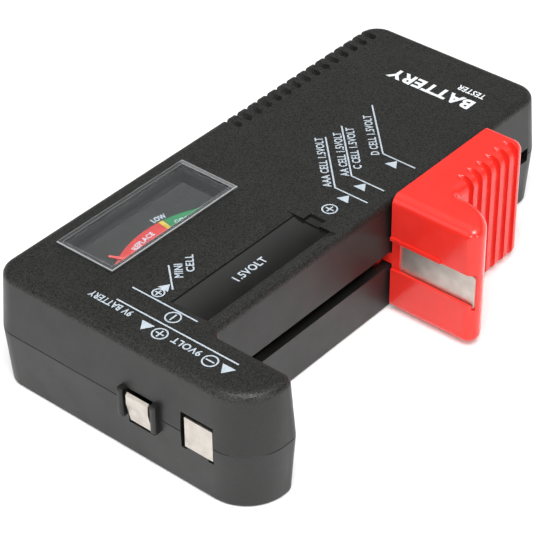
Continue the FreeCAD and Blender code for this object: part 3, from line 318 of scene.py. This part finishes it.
def painted_trough_shadow_mask(tree):
    """1 in the painted shadow line along the trough's back edge and its near end, else 0."""
    back_edge = (TROUGH_Y[1] - 0.26 * MM, TROUGH_Y[1] + 0.06 * MM)
    near_end = (TROUGH_X[0] - 0.05 * MM, TROUGH_X[0] + 0.12 * MM)
    straight = within(tree, "X", TROUGH_X[0], TROUGH_STRAIGHT_END)
    side = product(tree, within(tree, "Y", *back_edge), straight)
    end = product(tree, within(tree, "X", *near_end), within(tree, "Y", *TROUGH_Y))
    either = combine(tree, "MAXIMUM", side, end)
    return product(tree, either, within(tree, "Z", case_top - MM, case_top + MM))


def case_plastic():
    """Black ABS: spark-eroded grain on top, a trough rubbed smooth with a painted sheen across it,
    a painted shadow line along the trough's back edge and near end, and smoother, handled sides.
    """
    grain_floor, grain_full = case_top - 2.0 * MM, case_top - 0.9 * MM
    side_grain = 0.15        # how much of the grain is left below grain_floor
    speck_size, pit_size, pit_depth = 0.17 * MM, 0.21 * MM, 0.07 * MM
    tooth_size, tooth_depth = 0.25 * MM, 0.008 * MM
    black, grey_black = (0.0045, 0.0045, 0.0042), (0.0150, 0.0150, 0.0135)

    material, tree, shader = new_material("case_black")
    trough = trough_mask(tree)
    outside_trough = combine(tree, "SUBTRACT", 1.0, trough)
    raised = between(tree, axis_of(tree, "Z"), side_grain, 1, grain_floor, grain_full)
    raised = product(tree, raised, outside_trough)
    # painted shadow: colour and gloss are darkened along the trough's back edge and near end, where
    # the step lies in shade
    corner = product(tree, painted_trough_shadow_mask(tree), 0.95)
    unshaded = combine(tree, "SUBTRACT", 1.0, corner)

    sparkle = product(tree, specks(tree, speck_size), raised)
    patches = between(tree, noise(tree, 12 * MM, 3), 0, 0.3)
    shade = combine(tree, "ADD", patches, product(tree, sparkle, 0.9))
    shade = product(tree, shade, unshaded)
    tree.links.new(blend_colours(tree, shade, black, grey_black), shader.inputs["Base Color"])

    glint = combine(tree, "SUBTRACT", sparkle, raised)
    gloss = combine(tree, "ADD", 0.5, product(tree, glint, 0.35))
    # painted sheen: the trough's gloss rises across it towards its back edge, lighter where the
    # light falls
    sheen_ramp = between(tree, axis_of(tree, "Y"), -0.4, 0.4, *TROUGH_Y)
    painted_trough_sheen = combine(tree, "ADD", 1.0, product(tree, trough, sheen_ramp))
    tree.links.new(product(tree, gloss, unshaded, painted_trough_sheen), shader.inputs["Specular IOR Level"])

    smudges = between(tree, noise(tree, 5 * MM, 4), 0.38, 0.48)
    smoother = product(tree, trough, -0.22)
    tree.links.new(combine(tree, "ADD", smudges, smoother), shader.inputs["Roughness"])

    tooth = bump(tree, noise(tree, tooth_size, 3), tooth_depth, 0.5)
    pits = product(tree, cells(tree, pit_size), raised)
    tree.links.new(bump(tree, pits, pit_depth, 0.9, tooth), shader.inputs["Normal"])
    return material


def glossy_red():
    """Red ABS straight from a polished mould, with faint flow ripples and handling marks."""
    deep_red, light_red = (0.74, 0.024, 0.016), (0.80, 0.030, 0.020)
    glow_depth = (1.0 * MM, 0.2 * MM, 0.1 * MM)      # how far red, green and blue light spread

    material, tree, shader = new_material("slider_red")
    streaks = between(tree, noise(tree, 9 * MM, 3), 0, 1)
    tree.links.new(blend_colours(tree, streaks, deep_red, light_red), shader.inputs["Base Color"])
    marks = between(tree, noise(tree, 2.5 * MM, 5), 0.13, 0.20)
    tree.links.new(marks, shader.inputs["Roughness"])
    ripples = bump(tree, noise(tree, 4 * MM, 2), 0.02 * MM, 0.2)
    fine = bump(tree, noise(tree, 0.5 * MM, 2), 0.003 * MM, 0.4, ripples)
    tree.links.new(fine, shader.inputs["Normal"])
    shader.inputs["Subsurface Weight"].default_value = 0.06
    shader.inputs["Subsurface Radius"].default_value = glow_depth
    return material


def rolled_metal(name, dark, light, roughness):
    """Strip metal with fine rolling lines and dull patches."""
    line_width, line_stretch = 0.15 * MM, (0.08, 1, 1)

    material, tree, shader = new_material(name)
    shader.inputs["Metallic"].default_value = 1.0
    patches = between(tree, noise(tree, 2.2 * MM, 4), 0, 1)
    tree.links.new(blend_colours(tree, patches, dark, light), shader.inputs["Base Color"])
    lines = noise(tree, line_width, 2, line_stretch)
    spread = product(tree, between(tree, lines, 0.8, 1.2), roughness)
    tree.links.new(spread, shader.inputs["Roughness"])
    tree.links.new(bump(tree, lines, 0.006 * MM, 0.6), shader.inputs["Normal"])
    return material


def window_rim(tree, inset_start, inset_end):
    """1 between two distances inwards from the window's outline, else 0."""
    def inside(inset):
        across = within(tree, "X", window_low.x + inset, window_high.x - inset)
        return product(tree, across, within(tree, "Y", window_low.y + inset, window_high.y - inset))

    return combine(tree, "SUBTRACT", inside(inset_start), inside(inset_end))


def painted_window_glare(tree):
    """How milky the window is made as painted reflection: most at its top edge, a little in its
    walls, hardly in its face.
    """
    past = MM                # reaches past the window on every side
    edge_width, band_width, wall_end = 0.18 * MM, 0.8 * MM, 0.95 * MM
    top = within(tree, "Z", window_high.z - 0.2 * MM, window_high.z + past)
    plate = within(tree, "Z", case_top - 0.05 * MM, window_high.z + past)
    edge = product(tree, window_rim(tree, -past, edge_width), top)
    band = product(tree, window_rim(tree, -past, band_width), plate)
    wall = product(tree, window_rim(tree, band_width, wall_end), plate)
    # painted reflection: the far end is made milky, where its end face shows the bright surround
    end = product(tree, within(tree, "X", window_high.x - MM, window_high.x + past), plate)

    # painted reflection: the milky zones stand in for light caught at the rims and the far end
    glare = 0.002
    for zone, level in ((edge, 0.36), (end, 0.16), (wall, 0.12), (band, 0.035)):
        glare = combine(tree, "MAXIMUM", glare, product(tree, zone, level))
    return glare


def clear_plastic():
    """Clear polystyrene that lets lamps through, with edges made milky as painted reflection, and a
    few hairline scratches.
    """
    material, tree, shader = new_material("clear_window")
    shader.inputs["Base Color"].default_value = (0.93, 0.95, 0.97, 1)
    shader.inputs["IOR"].default_value = 1.5
    clear = combine(tree, "SUBTRACT", 1.0, painted_window_glare(tree))
    tree.links.new(clear, shader.inputs["Transmission Weight"])

    haze = between(tree, noise(tree, 3 * MM, 5), 0.01, 0.05)
    tree.links.new(haze, shader.inputs["Roughness"])
    scratches = noise(tree, 0.5 * MM, 3, (0.12, 1, 1))
    tree.links.new(bump(tree, scratches, 0.0003 * MM, 0.2), shader.inputs["Normal"])

    rays = tree.nodes.new("ShaderNodeLightPath")
    passing = tree.nodes.new("ShaderNodeBsdfTransparent")
    passing.inputs["Color"].default_value = (0.9, 0.92, 0.92, 1)
    chosen = tree.nodes.new("ShaderNodeMixShader")
    output = tree.nodes["Material Output"]
    tree.links.new(rays.outputs["Is Shadow Ray"], chosen.inputs["Fac"])
    tree.links.new(shader.outputs["BSDF"], chosen.inputs[1])
    tree.links.new(passing.outputs["BSDF"], chosen.inputs[2])
    tree.links.new(chosen.outputs["Shader"], output.inputs["Surface"])
    return material


def soft_coating(name, dark, light, roughness):
    """Paint, print or a small moulding: an even colour with a slight mottle and a fine tooth."""
    material, tree, shader = new_material(name)
    mottle = between(tree, noise(tree, 1.1 * MM, 3), 0, 1)
    tree.links.new(blend_colours(tree, mottle, dark, light), shader.inputs["Base Color"])
    spread = between(tree, noise(tree, 0.7 * MM, 3), roughness * 0.85, roughness * 1.15)
    tree.links.new(spread, shader.inputs["Roughness"])
    tree.links.new(bump(tree, noise(tree, 0.25 * MM, 2), 0.01 * MM, 0.5), shader.inputs["Normal"])
    return material


CASE = case_plastic()
RED = glossy_red()
NICKEL = rolled_metal("nickel_strip", (0.50, 0.46, 0.42), (0.62, 0.58, 0.53), 0.42)
STEEL = rolled_metal("zinc_steel", (0.42, 0.42, 0.44), (0.62, 0.62, 0.64), 0.32)
CLEAR = clear_plastic()
WHITE_INK = soft_coating("white_ink", (0.40, 0.46, 0.51), (0.48, 0.54, 0.60), 0.45)
THICK_INK = soft_coating("thick_white_ink", (0.68, 0.72, 0.74), (0.78, 0.82, 0.84), 0.45)
DIAL_BLACK = soft_coating("dial_black", (0.008, 0.009, 0.008), (0.013, 0.014, 0.013), 0.6)
DIAL_RED = soft_coating("dial_red", (0.42, 0.02, 0.02), (0.50, 0.035, 0.03), 0.4)
DIAL_YELLOW = soft_coating("dial_yellow", (0.43, 0.31, 0.035), (0.52, 0.38, 0.05), 0.4)
DIAL_GREEN = soft_coating("dial_green", (0.01, 0.15, 0.05), (0.015, 0.20, 0.07), 0.4)
FRAME_BLACK = soft_coating("frame_black", (0.022, 0.022, 0.024), (0.034, 0.034, 0.036), 0.5)
BRASS = rolled_metal("brass", (0.62, 0.43, 0.17), (0.78, 0.58, 0.28), 0.28)
MAGNET = rolled_metal("ground_magnet", (0.22, 0.22, 0.23), (0.32, 0.32, 0.33), 0.45)
IRON = rolled_metal("plated_iron", (0.36, 0.36, 0.37), (0.5, 0.5, 0.5), 0.38)
ALUMINIUM = rolled_metal("aluminium_sheet", (0.68, 0.69, 0.71), (0.84, 0.85, 0.87), 0.30)
COPPER = rolled_metal("enamelled_copper", (0.55, 0.22, 0.10), (0.72, 0.33, 0.17), 0.25)
POINTER_RED = soft_coating("pointer_red", (0.55, 0.05, 0.05), (0.66, 0.09, 0.08), 0.35)
RESISTOR = soft_coating("resistor_lacquer", (0.50, 0.38, 0.22), (0.62, 0.48, 0.30), 0.3)
LEAD_BLACK = soft_coating("lead_black", (0.02, 0.02, 0.02), (0.035, 0.035, 0.035), 0.45)
LEAD_YELLOW = soft_coating("lead_yellow", (0.65, 0.48, 0.04), (0.78, 0.6, 0.07), 0.45)
LEAD_RED = soft_coating("lead_red", (0.5, 0.03, 0.02), (0.62, 0.05, 0.03), 0.45)

NODE_MATERIALS = {
    "upper_shell": CASE,
    "lower_shell": CASE,
    "case_screws": STEEL,
    "meter_window": CLEAR,
    "slider": RED,
    "slider_contact": NICKEL,
    "contact_rail": NICKEL,
    "rail_screws": STEEL,
    "negative_contact": NICKEL,
    "positive_contact": NICKEL,
    "dial_plate": DIAL_BLACK,
    "meter_frame": FRAME_BLACK,
    "bearing_bridge": BRASS,
    "bridge_screws": STEEL,
    "core_magnet": MAGNET,
    "yoke_ring": IRON,
    "core_spacers": BRASS,
    "coil_former": ALUMINIUM,
    "coil_winding": COPPER,
    "coil_pivots": STEEL,
    "lower_bearing": BRASS,
    "upper_bearing": BRASS,
    "pointer": POINTER_RED,
    "balance_weights": BRASS,
    "lower_hairspring": COPPER,
    "upper_hairspring": COPPER,
    "meter_terminals": BRASS,
    "load_resistor": RESISTOR,
    "nine_volt_resistor": RESISTOR,
    "meter_resistor": RESISTOR,
    "lead_negative": LEAD_BLACK,
    "lead_nine_volt": LEAD_YELLOW,
    "lead_rail": LEAD_RED,
}


def dress_cad_nodes():
    """Gives each CAD node its material."""
    for name, material in NODE_MATERIALS.items():
        node = cad_nodes[name]
        node.data.materials.clear()
        node.data.materials.append(material)


# ---------------------------------------------------------------- print tools

def piece_from(name, points, faces, material, body="case"):
    """A mesh piece in the row frame that rides on body."""
    mesh = bpy.data.meshes.new(name)
    mesh.from_pydata(points, [], faces)
    mesh.validate()
    mesh.materials.append(material)
    piece = bpy.data.objects.new(name, mesh)
    bpy.context.scene.collection.objects.link(piece)
    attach(piece, body)
    return piece


def flat_layer(outlines, floor):
    """Points and faces of thin closed layers on floor, one for each outline of (x, y) in order."""
    points, faces = [], []
    for outline in outlines:
        first = len(points)
        count = len(outline)
        points += [(x, y, floor) for x, y in outline]
        points += [(x, y, floor + INK) for x, y in outline]
        faces.append([first + count + i for i in range(count)])
        faces.append([first + i for i in reversed(range(count))])
        for i in range(count):
            j = (i + 1) % count
            faces.append([first + i, first + j, first + count + j, first + count + i])
    return points, faces


def stroke(start, end, width):
    """The outline of a straight line of ink."""
    a, b = Vector(start), Vector(end)
    side = (b - a).normalized().orthogonal() * width / 2
    return [tuple(p) for p in (a - side, b - side, b + side, a + side)]


def bent_stroke(start, corner, end, width):
    """Two lines of ink that meet in a mitred corner."""
    a, c, b = Vector(start), Vector(corner), Vector(end)
    first, second = (c - a).normalized(), (b - c).normalized()
    left_first, left_second = first.orthogonal() * width / 2, second.orthogonal() * width / 2
    mitre = (left_first + left_second) / (1 + first.dot(second))
    ahead = [a + left_first, c + mitre, b + left_second]
    behind = [b - left_second, c - mitre, a - left_first]
    outline = [tuple(p) for p in ahead + behind]
    return list(reversed(outline))


def triangle(tip, length, width, direction):
    """A filled triangle that points along direction."""
    ahead = Vector(direction).normalized()
    side = ahead.orthogonal() * width / 2
    base = Vector(tip) - ahead * length
    return [tuple(p) for p in (Vector(tip), base + side, base - side)]


def sector(centre, inner, outer, start, end, steps):
    """A stretch of a ring; angles in degrees from +Y towards +X."""
    def at(radius, degrees):
        turn = math.radians(degrees)
        return (centre[0] + radius * math.sin(turn), centre[1] + radius * math.cos(turn))

    angles = [start + (end - start) * i / steps for i in range(steps + 1)]
    return [at(inner, a) for a in angles] + [at(outer, a) for a in reversed(angles)]


def plus_sign(centre, reach, pen):
    """The outline of a plus sign."""
    half = pen / 2
    quarter = [(reach, -half), (reach, half), (half, half)]
    outline = []
    for turn in range(4):
        spin = Matrix.Rotation(math.radians(90 * turn), 2)
        outline += [tuple(Vector(centre) + spin @ Vector(corner)) for corner in quarter]
    return outline


def ring_mark(centre, across, pen, sign):
    """A circle of ink around a plus sign or around one bar along x or y, as outlines."""
    steps = 20
    half_turn = 180
    outlines = [
        sector(centre, across / 2 - pen, across / 2, 0, half_turn, steps),
        sector(centre, across / 2 - pen, across / 2, half_turn, 2 * half_turn, steps),
    ]
    reach = across * 0.3
    if sign == "plus":
        outlines.append(plus_sign(centre, reach, pen))
    else:
        along = Vector((1, 0) if sign == "x" else (0, 1)) * reach
        outlines.append(stroke(Vector(centre) - along, Vector(centre) + along, pen))
    return outlines


def lettering(text, place, turn, height, length, weight=0.02):
    """Points and faces of raised letters that start at place and run along turn degrees from +X."""
    curve = bpy.data.curves.new("letters", "FONT")
    curve.body = text
    curve.offset = weight
    curve.space_character = 1.08
    half_thick = 0.5         # extruded this far up and down, then scaled to the ink's thickness
    curve.extrude = half_thick
    curve.resolution_u = 3
    holder = bpy.data.objects.new("letters", curve)
    bpy.context.scene.collection.objects.link(holder)
    bpy.context.view_layer.update()
    graph = bpy.context.evaluated_depsgraph_get()
    mesh = bpy.data.meshes.new_from_object(holder.evaluated_get(graph))
    low_x = min(v.co.x for v in mesh.vertices)
    high_x = max(v.co.x for v in mesh.vertices)
    low_y = min(v.co.y for v in mesh.vertices)
    high_y = max(v.co.y for v in mesh.vertices)
    across = length / (high_x - low_x)
    up = height / (high_y - low_y)
    spin = Matrix.Rotation(math.radians(turn), 3, "Z")
    points = []
    for vertex in mesh.vertices:
        x, y, z = vertex.co
        flat = Vector(((x - low_x) * across, (y - low_y) * up, (z + half_thick) * INK))
        points.append(tuple(spin @ flat + Vector(place)))
    faces = [list(face.vertices) for face in mesh.polygons]
    bpy.data.objects.remove(holder)
    bpy.data.meshes.remove(mesh)
    return points, faces


def gather(layers):
    """Joins several (points, faces) into one."""
    points, faces = [], []
    for more_points, more_faces in layers:
        first = len(points)
        points += more_points
        faces += [[first + i for i in face] for face in more_faces]
    return points, faces


# ---------------------------------------------------------------- prints on the case

# places and sizes of the prints, in millimetres from the row's origin
PEN = 0.3
MINUS_LINE = (-41.85, (-7.8, 7.0))               # x, and its two ends in y
NINE_VOLT_LINE = (-45.95, (-20.4, 6.8))
MINI_CELL_LINE = ((-38.0, 1.25), (-33.4, 6.4))

# the line for each cell size: straight up from the trough's side, then 45 degrees to its words
SIZE_LINES_X = (2.9, 7.7, 17.0)
SIZE_LINE_START, SIZE_LINE_BEND, SIZE_LINE_SLANT = -8.65, -1.2, 11.7

# filled arrows: (tip, length, width, direction)
SIZE_ARROWS = [((x - PEN, -4.7), 2.0, 2.6, (1, 0)) for x in SIZE_LINES_X]
MINI_CELL_ARROW = ((-37.2, 2.6), 1.8, 2.3, (1, 0))
NINE_VOLT_ARROWS = [((-49.4, y), 2.1, 2.8, (-1, 0)) for y in (-19.6, -1.8)]

# polarity signs in a circle: (centre, diameter, sign)
RING_PEN = 0.28
RINGS = [
    ((-2.85, -4.6), 3.0, "plus"),
    ((-43.6, -3.9), 3.0, "x"),
    ((-48.2, -16.2), 3.0, "y"),
    ((-48.2, -5.1), 3.0, "plus"),
    ((-40.2, 2.55), 2.4, "plus"),
]

# words: (text, x, y, direction in degrees, height, length)
SLANTED = 45
ALONG_Y = 90
TOP_WORDS = [
    ("AAA CELL 1.5VOLT", 2.8, -0.55, SLANTED, 1.6, 16.0),
    ("AA CELL 1.5VOLT", 7.5, -0.9, SLANTED, 1.6, 14.3),
    ("C CELL 1.5VOLT", 10.8, -1.2, SLANTED, 1.6, 13.6),
    ("D CELL 1.5VOLT", 16.4, -0.9, SLANTED, 1.6, 13.3),
    ("MINI", -34.3, 2.15, SLANTED, 1.5, 3.9),
    ("CELL", -31.8, 1.75, SLANTED, 1.5, 4.9),
    ("9VOLT", -47.1, -13.9, ALONG_Y, 1.55, 6.2),
    ("9V BATTERY", -46.6, 2.0, ALONG_Y, 1.6, 9.6),
]
TROUGH_WORDS = [("1.5VOLT", -28.5, -5.4, 0, 1.75, 7.85)]
TITLE = [("BATTERY", 42.0, -4.3, ALONG_Y, 3.2, 19.4)]
SUBTITLE = [("TESTER", 45.2, -4.6, ALONG_Y, 1.7, 6.3)]
TITLE_WEIGHT = 0.035


def metres(outline):
    """An outline in millimetres, turned into metres."""
    return [(x * MM, y * MM) for x, y in outline]


def make_marks():
    """Lines, arrows and polarity signs around the trough and beside the end contacts."""
    outlines = []
    for x, (start, end) in (MINUS_LINE, NINE_VOLT_LINE):
        outlines.append(stroke((x, start), (x, end), PEN))
    outlines.append(stroke(*MINI_CELL_LINE, PEN))
    for x, arrow in zip(SIZE_LINES_X, SIZE_ARROWS):
        bend = (x, SIZE_LINE_BEND)
        end = (x + SIZE_LINE_SLANT, SIZE_LINE_BEND + SIZE_LINE_SLANT)
        outlines.append(bent_stroke((x, SIZE_LINE_START), bend, end, PEN))
        outlines.append(triangle(*arrow))
    for arrow in [MINI_CELL_ARROW, *NINE_VOLT_ARROWS]:
        outlines.append(triangle(*arrow))
    for centre, across, sign in RINGS:
        outlines += ring_mark(centre, across, RING_PEN, sign)
    points, faces = flat_layer([metres(outline) for outline in outlines], case_top)
    piece_from("polarity_print", points, faces, WHITE_INK)


def word_layers(words, floor, weight=0.02):
    """Raised letters for a table of words that lie on floor."""
    return [
        lettering(text, (x * MM, y * MM, floor), turn, height * MM, length * MM, weight)
        for text, x, y, turn, height, length in words
    ]


def make_labels():
    """The words on the case: what each mark is for."""
    layers = word_layers(TOP_WORDS, case_top) + word_layers(TROUGH_WORDS, trough_floor)
    points, faces = gather(layers)
    piece_from("size_print", points, faces, WHITE_INK)

    layers = word_layers(TITLE, case_top, TITLE_WEIGHT) + word_layers(SUBTITLE, case_top)
    points, faces = gather(layers)
    piece_from("title_print", points, faces, THICK_INK)


# ---------------------------------------------------------------- the meter's dial

BAND_INNER = 19.3 * MM
BAND_OUTER = 22.85 * MM
BANDS = [
    ("red_band", (-31, 7.6), DIAL_RED),
    ("yellow_band", (7.8, 10.3), DIAL_YELLOW),
    ("green_band", (10.5, 30), DIAL_GREEN),
]

# words along an arc: (text, radius, start and end in degrees, height, weight)
DIAL_WORDS = [
    ("REPLACE", 20.6 * MM, (-15.5, 0.5), 1.2 * MM, 0.02),
    ("GOOD", 20.4 * MM, (14, 25), 1.2 * MM, 0.02),
    ("LOW", 23.2 * MM, (6.2, 13.6), 1.3 * MM, 0.03),
]


def curved_lettering(text, radius, start, end, height, weight):
    """Letters along an arc around the pivot, from start to end degrees from +Y towards +X."""
    length = math.radians(end - start) * radius
    points, faces = lettering(text, (0, 0, dial_top + INK), 0, height, length, weight)
    bent = []
    for x, y, z in points:
        turn = math.radians(start) + x / radius
        reach = radius + y
        bent.append((pivot.x + reach * math.sin(turn), pivot.y + reach * math.cos(turn), z))
    return bent, faces


def make_dial():
    """The coloured scale and its words."""
    steps = 24
    for name, (start, end), ink in BANDS:
        outline = sector(pivot, BAND_INNER, BAND_OUTER, start, end, steps)
        points, faces = flat_layer([outline], dial_top)
        piece_from(name, points, faces, ink)
    words = [
        curved_lettering(text, radius, *span, height, weight)
        for text, radius, span, height, weight in DIAL_WORDS
    ]
    points, faces = gather(words)
    piece_from("dial_words", points, faces, WHITE_INK)


make_camera()
make_surround()
make_lights()
make_floor()
dress_cad_nodes()
make_marks()
make_labels()
make_dial()

bpy.context.scene.view_settings.view_transform = "Standard"
